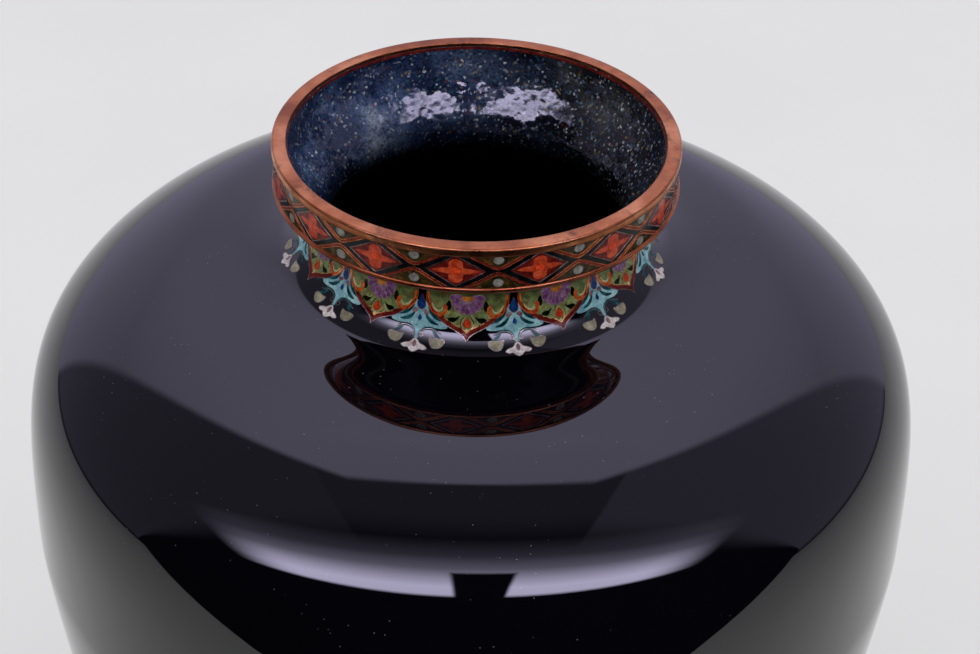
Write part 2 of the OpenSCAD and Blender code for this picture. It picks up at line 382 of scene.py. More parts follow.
def inlay(name, cells, place, turns, lift, material, nodes, depth=0.1):
    """Lays flat cells into the surface, once at each turn. Each becomes a thin closed slab."""
    points = []
    faces = []
    normals = []
    for flat_points, flat_faces in cells:
        spots = [place(p) for p in flat_points]
        edges = {}
        solid_faces = []
        for face in flat_faces:
            corners = [Vector((spots[i][1] * math.cos(spots[i][0]), spots[i][1] * math.sin(spots[i][0]),
                               spots[i][2])) for i in face[:3]]
            across = (corners[1] - corners[0]).cross(corners[2] - corners[0])
            angle, _, _, out = spots[face[0]]
            outward = Vector((out[0] * math.cos(angle), out[0] * math.sin(angle), out[1]))
            solid_faces.append(face if across.dot(outward) > 0 else face[::-1])
        for face in solid_faces:
            for a, b in zip(face, face[1:] + face[:1]):
                edges[(a, b)] = edges.get((a, b), 0) + 1
        border = [edge for edge in edges if (edge[1], edge[0]) not in edges]
        count = len(spots)
        for turn in turns:
            base = len(points)
            top_normals = []
            for rise in (lift, -depth):
                for angle, radius, z, out in spots:
                    a = angle + math.radians(turn)
                    r = radius + out[0] * rise
                    points.append((r * math.cos(a), r * math.sin(a), z + out[1] * rise))
                    if rise == lift:
                        top_normals.append((out[0] * math.cos(a), out[0] * math.sin(a), out[1]))
            for face in solid_faces:
                faces.append(tuple(base + i for i in face))
                normals += [top_normals[i] for i in face]
            for face in solid_faces:
                faces.append(tuple(base + count + i for i in reversed(face)))
                normals += [tuple(-c for c in top_normals[i]) for i in reversed(face)]
            for a, b in border:
                faces.append((base + b, base + a, base + count + a, base + count + b))
                normals += [(0.0, 0.0, 0.0)] * 4
    return finish_piece(name, points, faces, material, nodes, normals=normals)


# ---------------------------------------------------------------- materials


def tint(text):
    """A linear colour from the usual six-digit notation."""
    channels = [int(text[i:i + 2], 16) / 255 for i in (0, 2, 4)]
    linear = [c / 12.92 if c <= 0.04045 else ((c + 0.055) / 1.055) ** 2.4 for c in channels]
    return (*linear, 1.0)


class Finish:
    """A Principled material and short ways of adding the nodes that feed it."""

    def __init__(self, name, **values):
        self.material = bpy.data.materials.new(name)
        self.material.use_nodes = True
        self.tree = self.material.node_tree
        self.shader = self.tree.nodes["Principled BSDF"]
        self.where = self.tree.nodes.new("ShaderNodeTexCoord")
        for key, value in values.items():
            self.shader.inputs[key.replace("_", " ")].default_value = value

    def link(self, output, target):
        self.tree.links.new(output, target)

    def coords(self, stretch, kind="Object"):
        mapping = self.tree.nodes.new("ShaderNodeMapping")
        mapping.inputs["Scale"].default_value = stretch
        self.link(self.where.outputs[kind], mapping.inputs["Vector"])
        return mapping.outputs["Vector"]

    def noise(self, size_mm, detail=3.0, rough=0.5, vector=None):
        """Cloudy noise whose blobs are about size_mm across."""
        node = self.tree.nodes.new("ShaderNodeTexNoise")
        node.inputs["Scale"].default_value = 0.5 / (size_mm * MM)
        node.inputs["Detail"].default_value = detail
        node.inputs["Roughness"].default_value = rough
        self.link(vector or self.where.outputs["Object"], node.inputs["Vector"])
        return node.outputs["Fac"]

    def grains(self, size_mm, output="Distance", vector=None):
        node = self.tree.nodes.new("ShaderNodeTexVoronoi")
        node.inputs["Scale"].default_value = 1 / (size_mm * MM)
        self.link(vector or self.where.outputs["Object"], node.inputs["Vector"])
        return node.outputs[output]

    def ramp(self, factor, stops, sharp=False):
        node = self.tree.nodes.new("ShaderNodeValToRGB")
        if sharp:
            node.color_ramp.interpolation = "CONSTANT"
        elements = node.color_ramp.elements
        while len(elements) < len(stops):
            elements.new(0.5)
        for element, (place, colour) in zip(elements, stops):
            element.position = place
            element.color = colour if len(colour) == 4 else (*colour, 1.0)
        self.link(factor, node.inputs["Fac"])
        return node.outputs["Color"]

    def level(self, factor, low, high, from_low=0.0, from_high=1.0):
        node = self.tree.nodes.new("ShaderNodeMapRange")
        node.inputs["From Min"].default_value = from_low
        node.inputs["From Max"].default_value = from_high
        node.inputs["To Min"].default_value = low
        node.inputs["To Max"].default_value = high
        self.link(factor, node.inputs["Value"])
        return node.outputs["Result"]

    def mix(self, factor, one, two, way="MIX"):
        node = self.tree.nodes.new("ShaderNodeMix")
        node.data_type = "RGBA"
        node.blend_type = way
        for socket, value in ((node.inputs[0], factor), (node.inputs[6], one), (node.inputs[7], two)):
            if isinstance(value, bpy.types.NodeSocket):
                self.link(value, socket)
            else:
                socket.default_value = value
        return node.outputs[2]

    def bump(self, height, rise_mm, strength=1.0, under=None):
        node = self.tree.nodes.new("ShaderNodeBump")
        node.inputs["Distance"].default_value = rise_mm * MM
        node.inputs["Strength"].default_value = strength
        self.link(height, node.inputs["Height"])
        if under is not None:
            self.link(under, node.inputs["Normal"])
        return node.outputs["Normal"]

    def set(self, socket, output):
        self.link(output, self.shader.inputs[socket])
        return self


def enamel(name, deep, middle, pale, patch=0.9, roughness=0.07, wave=0.004):
    """Fired glass: close shades in soft patches, a fine grain and a slightly uneven polish."""
    f = Finish(name, IOR=1.5, Specular_IOR_Level=0.12)
    cloud = f.noise(patch, 4.0, 0.6)
    body = f.ramp(cloud, [(0.34, tint(deep)), (0.5, tint(middle)), (0.68, tint(pale))])
    grain = f.level(f.noise(0.16, 2.0), 0.82, 1.14, 0.35, 0.65)
    body = f.mix(1.0, body, grain, "MULTIPLY")
    f.set("Base Color", body)
    f.set("Roughness", f.level(f.noise(1.6, 2.0), roughness * 0.7, roughness * 1.6, 0.35, 0.65))
    f.set("Normal", f.bump(f.noise(1.1, 2.0), wave * 4, 0.5))
    return f.material


def wire(name, dull, bright, roughness=0.24):
    """Drawn wire polished flush with the glass, with darker tarnish in places."""
    f = Finish(name, Metallic=1.0)
    f.set("Base Color", f.ramp(f.noise(0.9, 3.0), [(0.36, tint(dull)), (0.62, tint(bright))]))
    f.set("Roughness", f.level(f.noise(0.4, 2.0), roughness * 0.7, roughness * 1.7, 0.35, 0.65))
    f.set("Normal", f.bump(f.noise(0.25, 2.0), 0.01, 0.5))
    return f.material


def brushed_copper(name, deep, middle, bright, roughness=0.34, tarnish="6d4536"):
    """Rubbed copper: fine lines that follow the ring, cloudy tarnish and small worn spots."""
    f = Finish(name, Metallic=1.0)
    lines = f.noise(1.0, 4.0, 0.7, f.coords((0.02, 0.02, 0.0), "UV"))
    around = f.coords((1.0, 1.0, 6.0))
    cloud = f.noise(5.0, 4.0, 0.6, around)
    colour = f.ramp(cloud, [(0.32, tint(deep)), (0.5, tint(middle)), (0.66, tint(bright))])
    stain = f.ramp(f.noise(2.2, 5.0, 0.65), [(0.55, (0, 0, 0)), (0.72, (1, 1, 1))])
    colour = f.mix(stain, colour, tint(tarnish))
    spots = f.ramp(f.grains(1.1), [(0.06, (1, 1, 1)), (0.12, (0, 0, 0))])
    colour = f.mix(spots, colour, tint(tarnish))
    f.set("Base Color", colour)
    f.set("Roughness", f.level(f.noise(1.4, 4.0, 0.6), roughness * 0.75, roughness * 1.4, 0.35, 0.65))
    rub = f.bump(lines, 0.02, 0.35)
    f.set("Normal", f.bump(f.noise(0.5, 4.0, 0.6), 0.03, 0.5, rub))
    return f.material


def midnight():
    """The polished ground: blue-black glass with a few pale pits and a faint unevenness."""
    f = Finish("midnight_enamel", IOR=1.52)
    cloud = f.noise(30.0, 3.0)
    body = f.ramp(cloud, [(0.35, (0.0006, 0.0004, 0.0011)), (0.65, (0.0012, 0.0009, 0.0024))])
    dots = f.ramp(f.grains(1.7), [(0.04, (1, 1, 1)), (0.06, (0, 0, 0))])
    thin = f.ramp(f.noise(14.0, 2.0), [(0.44, (0, 0, 0)), (0.6, (1, 1, 1))])
    dots = f.mix(1.0, dots, thin, "MULTIPLY")
    body = f.mix(dots, body, (0.20, 0.19, 0.22, 1.0))
    f.set("Base Color", body)
    f.set("Roughness", f.level(f.noise(18.0, 2.0), 0.012, 0.03, 0.35, 0.65))
    soft = f.bump(f.noise(22.0, 1.0), 0.02, 0.6)
    f.set("Normal", f.bump(f.grains(1.7), 0.002, 0.2, soft))
    return f.material


def counter(name, shaded_below, unshaded_above):
    """The lining: grains of blue, black, white, teal, red and gold glass, fired unevenly. It is bluer and
    lighter on one side, partly its own colour and partly a painted sheen, and duskier and darker on the
    other, partly painted shade. It goes from black to its full colour between two heights: painted shade
    deep in the throat."""
    f = Finish(name, IOR=1.55)
    place = f.tree.nodes.new("ShaderNodeSeparateXYZ")
    f.link(f.where.outputs["Object"], place.inputs["Vector"])
    cloud = f.noise(7.0, 5.0, 0.65)
    blue = f.ramp(cloud, [(0.36, tint("131930")), (0.48, tint("233256")), (0.6, tint("46587f")),
                          (0.72, tint("8590a8"))])
    dusky_and_shaded = f.ramp(cloud, [(0.36, tint("0a0a0c")), (0.5, tint("1b1d20")), (0.62, tint("3a3b3c")),
                           (0.76, tint("5e5d58"))])
    # Painted light and shade across the wall: the left side is lighter and bluer, partly its own colour and
    # partly a painted sheen. The right side is duskier and darker, partly painted shade.
    turn = f.level(place.outputs["X"], 0.0, 1.0, -0.012, 0.018)
    base = f.mix(turn, blue, dusky_and_shaded)
    tone = f.grains(0.42, "Color")
    split = f.tree.nodes.new("ShaderNodeSeparateColor")
    f.link(tone, split.inputs["Color"])
    grain = f.ramp(split.outputs["Red"], [(0.0, tint("08090f")), (0.42, tint("141c34")),
                                          (0.62, tint("2f4068")), (0.74, tint("6c7a96")),
                                          (0.84, tint("2c5a62")), (0.89, tint("aab0b8")),
                                          (0.93, tint("6a2c24")), (0.96, tint("8a7440")),
                                          (0.985, tint("d8dce2"))], sharp=True)
    share = f.ramp(split.outputs["Green"], [(0.35, (0, 0, 0)), (0.8, (0.6, 0.6, 0.6))])
    body = f.mix(share, base, grain)
    dust = f.ramp(f.grains(1.4), [(0.10, (1, 1, 1)), (0.2, (0, 0, 0))])
    few = f.ramp(f.noise(2.6, 3.0), [(0.48, (0, 0, 0)), (0.6, (0.8, 0.8, 0.8))])
    body = f.mix(f.mix(1.0, dust, few, "MULTIPLY"), body, tint("b4bccb"))
    # Painted shade: the lining darkens to black below the throat, between the two heights.
    depth = f.ramp(f.level(place.outputs["Z"], 0.0, 1.0, shaded_below * MM, unshaded_above * MM),
                   [(0.0, (0.02, 0.02, 0.02)), (0.25, (0.3, 0.3, 0.3)), (0.9, (1, 1, 1))])
    f.set("Base Color", f.mix(1.0, body, depth, "MULTIPLY"))
    f.set("Roughness", f.level(f.noise(3.0, 3.0), 0.03, 0.16, 0.35, 0.65))
    wide = f.bump(f.noise(5.0, 3.0, 0.5), 1.9, 0.65)
    f.set("Normal", f.bump(f.noise(1.2, 3.0, 0.5), 0.2, 0.5, wide))
    return f.material


def sage_with_painted_shade():
    """The lappets' green: sage towards the point, a deeper green higher up, and almost black under the
    band, which is painted shade from the band's overhang; with brown streaks.
    """
    f = Finish("sage_enamel", IOR=1.5, Specular_IOR_Level=0.12)
    split = f.tree.nodes.new("ShaderNodeSeparateXYZ")
    f.link(f.where.outputs["Object"], split.inputs["Vector"])
    # Painted shade: the green darkens upwards to almost black where the band overhangs the collar.
    height = f.level(split.outputs["Z"], 0.0, 1.0, (ROOT_Z + 2.2) * MM, (WAIST_Z + 1.5) * MM)
    body = f.ramp(height, [(0.0, tint("a3ac84")), (0.4, tint("8c9868")), (0.68, tint("67744a")),
                           (0.86, tint("333a20")), (1.0, tint("15180e"))])
    cloud = f.ramp(f.noise(0.55, 4.0, 0.6), [(0.36, (0.45, 0.5, 0.4)), (0.66, (1.3, 1.25, 1.1))])
    body = f.mix(1.0, body, cloud, "MULTIPLY")
    streaks = f.ramp(f.noise(0.8, 5.0, 0.7), [(0.52, (0, 0, 0)), (0.62, (0.55, 0.55, 0.55))])
    body = f.mix(streaks, body, tint("5c3418"))
    f.set("Base Color", body)
    f.set("Roughness", f.level(f.noise(1.2, 2.0), 0.05, 0.12, 0.35, 0.65))
    f.set("Normal", f.bump(f.noise(0.9, 2.0), 0.02, 0.5))
    return f.material


RIM_COPPER = brushed_copper("rim_copper", "8e5236", "b47048", "d08e62", 0.34)
COPPER = brushed_copper("copper", "8a4c34", "a8603f", "c27b52", 0.33)
BEAD_COPPER = brushed_copper("bead_copper", "7e3f22", "a55a38", "bd7450", 0.34, "5a2a1c")
MIDNIGHT = midnight()
# The lining's copy has painted shade, black below the throat. The base's copy sets both heights below the
# vase, so it has none.
COUNTER = counter("counter_enamel", THROAT_Z - 1, THROAT_Z + 9)
BASE_ENAMEL = counter("base_counter_enamel", -20, -10)
SAGE = sage_with_painted_shade()
BLACK = enamel("black_enamel", "040406", "0a0a0d", "15151a")
CRIMSON = enamel("crimson_enamel", "3a0c0b", "5a1512", "7a241a", 0.7)
VERMILION = enamel("vermilion_enamel", "8c2a16", "b03e22", "c65836", 0.6)
ORANGE = enamel("orange_enamel", "a82a12", "c83818", "dc5228", 0.4)
OLIVE = enamel("olive_enamel", "17140a", "2e2611", "5c3c1a", 0.5)
LILAC = enamel("lilac_enamel", "62625e", "7e7d78", "98958f", 0.6)
MAROON = enamel("maroon_enamel", "4a1310", "6d1f1a", "8a3026", 0.8)
TAWNY = enamel("tawny_enamel", "a83414", "c8501f", "de7c40", 0.5)
PLUM = enamel("plum_enamel", "5a2f62", "7c4a84", "a878a4", 0.5)
AMBER = enamel("amber_enamel", "8a4a18", "bf6f28", "d99a4a", 0.4)
LEAF = enamel("leaf_enamel", "050806", "0b100b", "1c2416", 0.5)
TURQUOISE = enamel("turquoise_enamel", "6a9db0", "8fc0cc", "b2dbe2", 0.9)
ROYAL = enamel("royal_enamel", "0c2450", "143a78", "2b5a9a", 0.5)
TEAL = enamel("teal_enamel", "0a2a30", "14414a", "2a6a74", 0.6)
WHITE = enamel("white_enamel", "b4a8ae", "d4cace", "e6e0e2", 0.7)
MAUVE = enamel("mauve_enamel", "6a4c56", "8a6a74", "a8909a", 0.4)
STONE = enamel("stone_enamel", "7c7666", "948d7c", "b4ad9e", 0.8)
CREAM = enamel("cream_enamel", "b8a878", "d6c89a", "e8dfc0", 0.4)
SILVER_WIRE = wire("silver_wire", "5e544c", "9a8c80", 0.36)
COPPER_WIRE = wire("copper_wire", "8c4a28", "c07440", 0.3)
GOLD_WIRE = wire("gold_wire", "a87a44", "dcb070")

# ---------------------------------------------------------------- turned pieces


def make_rim():
    lip = BAND_R - TO_INSIDE + 0.2
    lap = BAND_TOP - 0.55
    inner_round = 0.2
    outer_round = 0.6
    low_round = 0.3
    loop = [(lip, LINING_TOP)] + arc(lip + inner_round, HEIGHT - inner_round, inner_round, 180, 90, 4)
    loop += [(lip + 0.9, HEIGHT), (RIM_R - 1.5, HEIGHT)]
    loop += arc(RIM_R - outer_round, HEIGHT - outer_round, outer_round, 90, 0, 8)
    loop += arc(RIM_R - low_round, lap + low_round, low_round, 0, -90, 5)
    loop += [(BAND_R - 0.4, lap), (BAND_R - 0.4, BAND_TOP), (BAND_R - TO_LINING, BAND_TOP),
             (BAND_R - TO_LINING, LINING_TOP)]
    lathe("rim", loop, RIM_COPPER, ["rim_ring"])
    # Painted shade: a thin maroon ring just inside the rim stands in for the copper lip's inner side in
    # shadow.
    front = BAND_R - TO_INSIDE - 0.06
    back = BAND_R - TO_INSIDE + 0.1
    low = LINING_TOP - 0.45
    line = [(front, LINING_TOP), (front, low), (back, low), (back, LINING_TOP)]
    lathe("rim_inner_painted_shade", line, MAROON, [])


def make_bead():
    stretch = 1.35
    half_round = arc(BAND_R, BAND_FOOT, BEAD_R, -90, 90, 10)
    loop = [(r, BAND_FOOT + (z - BAND_FOOT) * stretch) for r, z in half_round]
    lathe("bead", loop, BEAD_COPPER, ["neck_bead"])


def make_foot():
    out = BASE_R + FOOT_LIP
    seat = BASE_R - 4
    loop = [(seat - 1.5, 0.5), (seat - 1.35, 0.15), (seat - 1, 0), (out - 1.2, 0)]
    loop += arc(out - 1.2, 1.2, 1.2, -90, 0, 6)
    loop += [(out, FOOT_TOP - 2.2)] + arc(out - 0.7, FOOT_TOP - 1.9, 0.7, 0, 60, 3)
    loop += [(BASE_R, FOOT_TOP), (BASE_R - TO_INSIDE, FOOT_TOP), (BASE_R - TO_INSIDE, 7), (seat, 7),
             (seat, 6), (seat - 1.5, 6)]
    lathe("foot", loop, COPPER, ["foot_ring"])


def make_shells():
    """The enamel shells, outside and inside."""
    outside = shoulder(26) + body_side(48)[1:]
    ground = outside + moved_in(outside, GROUND_T)[::-1]
    lathe("ground", ground, MIDNIGHT, ["ground_enamel"])
    neck = neck_side(28)
    lathe("collar", neck + moved_in(neck, GROUND_T)[::-1], MIDNIGHT, ["collar_ground"])
    band = [(BAND_R, BAND_TOP - 1.8 * i) for i in range(4)] + [(BAND_R, BAND_FOOT)]
    lathe("band", band + [(r - GROUND_T, z) for r, z in reversed(band)], BLACK,
          ["band_ground"])
    bowl = neck_inside(TO_INSIDE, 28)
    back = neck_inside(TO_LINING, 28)
    loop = [(BAND_R - TO_INSIDE, LINING_TOP)] + bowl + back[::-1] + [(BAND_R - TO_LINING, LINING_TOP)]
    lathe("lining_neck_piece", loop, COUNTER, ["lining_neck"])
    crown = shoulder(12)
    loop = moved_in(crown, TO_LINING) + moved_in(crown, TO_INSIDE)[::-1]
    lathe("lining_shoulder_piece", loop, COUNTER, ["lining_shoulder"])
    side = body_side(32)
    loop = moved_in(side, TO_LINING) + moved_in(side, TO_INSIDE)[::-1]
    lathe("lining_body_piece", loop, COUNTER, ["lining_body"])


# ---------------------------------------------------------------- the lattice band

LOZENGE = [(4.96, 0.0), (0.0, 3.0), (-4.96, 0.0), (0.0, -3.0)]
OUTER_V = [(-5.95, BAND_HALF), (-0.9, 0.47), (0.0, 0.22), (0.9, 0.47), (5.95, BAND_HALF)]
INNER_V = [(-5.0, BAND_HALF), (-0.7, 0.98), (0.0, 0.78), (0.7, 0.98), (5.0, BAND_HALF)]


def down_too(outlines):
    """Each outline, and the same upside down."""
    return outlines + [[(u, -v) for u, v in outline] for outline in outlines]


def make_band():
    quarter = spline([(3.95, 0.0), (2.7, 0.42), (1.35, 0.62), (1.2, 1.15), (1.1, 1.75), (0.6, 2.2),
                      (0.0, 2.3)], 4)
    upper = quarter + [(-u, v) for u, v in reversed(quarter[:-1])]
    petals = upper + [(-u, -v) for u, v in upper[1:-1]]
    heart = oval(0, 0, 0.75, 0.62)
    inlay("lozenge_fields_piece", [cell(LOZENGE)], on_band, BAND_TURNS, 0.010, CRIMSON,
          ["lozenge_fields"])
    inlay("lozenge_flowers_piece", [cell(petals, 0.35)], on_band, BAND_TURNS, 0.020, VERMILION,
          ["lozenge_flowers"])
    inlay("lozenge_hearts_piece", [cell(heart, 0.3)], on_band, BAND_TURNS, 0.028, ORANGE,
          ["lozenge_hearts"])
    inlay("lozenge_wires_piece", [ribbon(LOZENGE, 0.16, True)], on_band, BAND_TURNS, 0.05, SILVER_WIRE,
          ["lozenge_wires"])
    strips = down_too([OUTER_V + INNER_V[::-1]])
    fills = down_too([INNER_V])
    arms = down_too([OUTER_V, INNER_V])
    discs = down_too([oval(0.0, BAND_HALF - 1.2, 0.95, 0.8)])
    inlay("lattice_strips", [cell(s) for s in strips], on_band, MEETING_TURNS, 0.010, MAROON,
          [])
    inlay("lattice_cells_piece", [cell(s) for s in fills], on_band, MEETING_TURNS, 0.014, OLIVE,
          ["lattice_cells"])
    inlay("lattice_dots_piece", [cell(s) for s in discs], on_band, MEETING_TURNS, 0.022, LILAC,
          ["lattice_dots"])
    inlay("lattice_wires_piece", [ribbon(s, 0.17) for s in arms], on_band, MEETING_TURNS, 0.05, COPPER_WIRE,
          ["lattice_wires"])
    inlay("lattice_dot_wires", [ribbon(s, 0.12, True) for s in discs], on_band, MEETING_TURNS, 0.045,
          SILVER_WIRE, [])


# ---------------------------------------------------------------- the lappets

HIGH_EDGE = [(7.0, -0.8), (7.0, 0.3), (6.85, 1.3), (6.6, 2.2), (6.0, 3.2), (5.4, 4.1)]
LOW_EDGE = [(5.4, 4.1), (4.5, 5.1), (3.5, 5.9), (2.1, 6.7), (0.95, 7.4), (0.35, 8.0), (0.0, 8.7)]
LAPPET_EDGE = spline(HIGH_EDGE + LOW_EDGE[1:], 4)
LAPPET_LOW = spline(LOW_EDGE, 4)
LAPPET_INNER = spline([(4.5, 4.0), (3.6, 4.85), (2.6, 5.55), (1.25, 6.2), (0.35, 6.75), (0.0, 7.25)], 4)
LAPPET_HIGH = spline(HIGH_EDGE, 4)
SCROLL = spline([(6.75, 0.6), (6.7, 1.4), (6.5, 2.4), (5.9, 3.4), (5.1, 4.05), (4.3, 4.15), (3.75, 3.7),
                 (3.65, 3.05), (4.0, 2.65)], 4)
CRESCENT = spline([(6.0, 2.3), (5.7, 3.0), (5.1, 3.5), (4.5, 3.5), (4.2, 3.0)], 4)


def sides(path):
    return [path, flip(path)]


def petal(angle):
    """One petal of the half-open flower under the band, as an outline."""
    a = math.radians(angle)
    shape = [(0.55, 0.0), (1.1, 0.3), (1.9, 0.46), (2.5, 0.42), (2.85, 0.2), (2.93, 0.0), (2.85, -0.2),
             (2.5, -0.42), (1.9, -0.46), (1.1, -0.3)]
    out = []
    for along, across in spline(shape, 3, True):
        out.append((along * math.sin(a) + across * math.cos(a),
                    1.4 + 0.95 * along * math.cos(a) - across * math.sin(a)))
    return out


def make_lappets():
    field = both_sides(LAPPET_EDGE)
    border = LAPPET_LOW + LAPPET_INNER[::-1]
    leaf = spline([(1.25, 4.3), (1.9, 4.62), (2.6, 4.55), (3.3, 4.8), (2.95, 5.2), (2.35, 5.42),
                   (1.8, 5.1)], 3, True)
    high_leaf = spline([(3.0, 1.9), (3.5, 2.3), (3.6, 3.1), (3.1, 3.5), (2.7, 2.9)], 3, True)
    drop = both_sides(spline([(0.0, 4.45), (0.34, 4.9), (0.72, 5.4), (0.74, 5.8), (0.4, 6.2),
                              (0.0, 6.3)], 4))
    core = both_sides(spline([(0.0, 4.85), (0.2, 5.2), (0.4, 5.55), (0.36, 5.85), (0.0, 6.05)], 4))
    calyx = spline([(0.3, 4.2), (0.75, 4.7), (1.1, 5.35), (1.05, 6.0), (0.6, 6.5)], 4)
    amber = [(1.05 * math.cos(math.radians(a)), 1.3 + 0.75 * math.sin(math.radians(a)))
             for a in range(0, 181, 12)]
    point = [(0.0, 6.4), (0.34, 6.7), (0.0, 7.1), (-0.34, 6.7)]
    petals = [petal(angle) for angle in range(-88, 91, 22)]
    inlay("lappet_fields_piece", [cell(field)], on_collar, COLLAR_TURNS, 0.010, SAGE,
          ["lappet_fields"])
    inlay("lappet_borders_piece", [cell(s) for s in sides(border)], on_collar, COLLAR_TURNS, 0.018, MAROON,
          ["lappet_borders"])
    inlay("lappet_scrolls_piece", [ribbon(s, 0.6) for s in sides(SCROLL)], on_collar, COLLAR_TURNS, 0.026,
          TAWNY, ["lappet_scrolls"])
    inlay("lappet_crescents", [ribbon(s, 0.3, taper=True) for s in sides(CRESCENT)], on_collar,
          COLLAR_TURNS, 0.026, CREAM, [])
    inlay("lappet_blossoms_piece", [cell(s, 0.35) for s in petals], on_collar, COLLAR_TURNS, 0.024, PLUM,
          ["lappet_blossoms"])
    inlay("lappet_petal_wires", [ribbon(s, 0.11, True, 0.3) for s in petals], on_collar, COLLAR_TURNS,
          0.034, MAUVE, [])
    inlay("lappet_hearts_piece", [cell(amber, 0.35)], on_collar, COLLAR_TURNS, 0.038, AMBER,
          ["lappet_hearts"])
    inlay("lappet_leaves_piece", [cell(s) for s in sides(leaf) + sides(high_leaf)], on_collar,
          COLLAR_TURNS, 0.022, LEAF, ["lappet_leaves"])
    inlay("lappet_drops_piece", [cell(drop, 0.35)], on_collar, COLLAR_TURNS, 0.022, VERMILION,
          ["lappet_drops"])
    inlay("lappet_drop_cores", [cell(core, 0.3)], on_collar, COLLAR_TURNS, 0.030, ORANGE,
          [])
    inlay("lappet_points", [cell(point, 0.3)], on_collar, COLLAR_TURNS, 0.026, CREAM, [])
    inlay("lappet_outer_wires_piece", [ribbon(both_sides(LAPPET_LOW), 0.14)], on_collar, COLLAR_TURNS,
          0.045, SILVER_WIRE, ["lappet_outer_wires"])
    golden = sides(LAPPET_HIGH) + [both_sides(LAPPET_INNER)] + sides(calyx)
    inlay("lappet_inner_wires_piece", [ribbon(s, 0.16) for s in golden], on_collar, COLLAR_TURNS, 0.045,
          GOLD_WIRE, ["lappet_inner_wires"])


# ---------------------------------------------------------------- the pendants between the lappets


def make_pendants():
    panel = both_sides(spline([(0.6, 2.6), (1.9, 3.0), (2.7, 3.8), (3.6, 4.7), (4.7, 5.6), (4.9, 6.3),
                               (3.6, 6.65), (2.0, 6.6), (1.1, 7.0), (0.5, 7.8), (0.2, 8.9)], 4))
    arcs = [spline([(1.2, 3.4), (1.9, 4.3), (2.9, 5.0), (3.9, 5.3)], 4),
            spline([(0.9, 4.5), (1.5, 5.3), (2.4, 5.85), (3.4, 6.0)], 4)]
    jewel = both_sides(spline([(0.0, 1.5), (0.3, 2.0), (0.66, 2.8), (0.7, 3.4), (0.4, 3.85),
                               (0.0, 3.98)], 4))
    low_jewel = both_sides(spline([(0.0, 4.75), (0.28, 5.2), (0.34, 5.6), (0.0, 5.95)], 3))
    mark = spline([(0.35, 4.1), (1.0, 3.85), (1.5, 4.35), (1.2, 4.75), (0.75, 4.6)], 3, True)
    stem = spline([(0.35, 8.9), (0.5, 7.9), (0.95, 7.25), (1.8, 6.9), (2.8, 6.95), (3.5, 7.3),
                   (4.2, 7.45)], 4)
    tail_path = spline([(2.6, 7.15), (3.3, 7.8), (4.1, 8.3)], 4)
    trefoil_side = spline([(0.4, 9.1), (0.9, 9.7), (1.7, 9.95), (2.3, 10.4), (1.75, 10.8), (1.05, 10.75),
                           (0.55, 11.2), (0.0, 11.45)], 3)
    trefoil = both_sides([(0.0, 8.9)] + trefoil_side)
    seed = oval(0, 9.85, 0.36, 0.62, 16)
    fan = spline([(2.3, 8.45), (3.0, 8.5), (4.1, 8.3), (4.95, 8.45), (4.9, 9.2), (4.25, 9.95), (3.2, 10.1),
                  (2.55, 9.45)], 3, True)
    ring = oval(0.8, 8.1, 0.36, 0.36, 14)
    inlay("panel_fields_piece", [cell(panel)], on_collar, PENDANT_TURNS, 0.006, TURQUOISE,
          ["panel_fields"])
    inlay("panel_jewels_piece", [cell(jewel, 0.35), cell(low_jewel, 0.3)], on_collar, PENDANT_TURNS, 0.026,
          ROYAL, ["panel_jewels"])
    inlay("panel_marks", [cell(s, 0.35) for s in sides(mark)], on_collar, PENDANT_TURNS, 0.026, MAUVE,
          [])
    strokes = [s for path in arcs + [stem, tail_path] for s in sides(path)]
    inlay("pendant_stems_piece", [ribbon(s, 0.6, taper=True) for s in strokes], on_collar,
          PENDANT_TURNS, 0.022, TEAL, ["pendant_stems"])
    inlay("pendant_trefoils_piece", [cell(trefoil)], on_collar, PENDANT_TURNS, 0.018, WHITE,
          ["pendant_trefoils"])
    inlay("pendant_seeds_piece", [cell(seed, 0.3)], on_collar, PENDANT_TURNS, 0.028, MAUVE,
          ["pendant_seeds"])
    inlay("pendant_petals_piece", [cell(s) for s in sides(fan)], on_collar, PENDANT_TURNS, 0.018, STONE,
          ["pendant_petals"])
    closed = [trefoil, fan, flip(fan), ring, flip(ring)]
    lines = [ribbon(s, 0.1, True) for s in closed] + [ribbon(s, 0.1) for s in sides(stem)]
    inlay("pendant_wires_piece", lines, on_collar, PENDANT_TURNS, 0.045, SILVER_WIRE,
          ["pendant_wires"])
    inlay("panel_wires", [ribbon(jewel, 0.12, True)], on_collar, PENDANT_TURNS, 0.045, COPPER_WIRE,
          [])


# ---------------------------------------------------------------- floor, light and camera


def make_floor():
    """A pale table. What lies in front of its edge shows to the camera but not in the polish."""
    f = Finish("pale_floor", Roughness=0.6)
    f.set("Base Color", f.ramp(f.noise(60.0, 3.0), [(0.3, (0.80, 0.80, 0.80)), (0.7, (0.83, 0.83, 0.83))]))
    edge = [(-4, -0.80, 0), (-0.3, -0.29, 0), (0.3, -0.27, 0), (4, -0.80, 0)]
    outlines = {"floor": edge + [(4, 6, 0), (-4, 6, 0)],
                "floor_in_front": [(-4, -4, 0), (4, -4, 0)] + edge[::-1]}
    for name, corners in outlines.items():
        mesh = bpy.data.meshes.new(name)
        mesh.from_pydata(corners, [], [tuple(range(len(corners)))])
        mesh.materials.append(f.material)
        floor = bpy.data.objects.new(name, mesh)
        floor.visible_glossy = name == "floor"
        bpy.context.scene.collection.objects.link(floor)


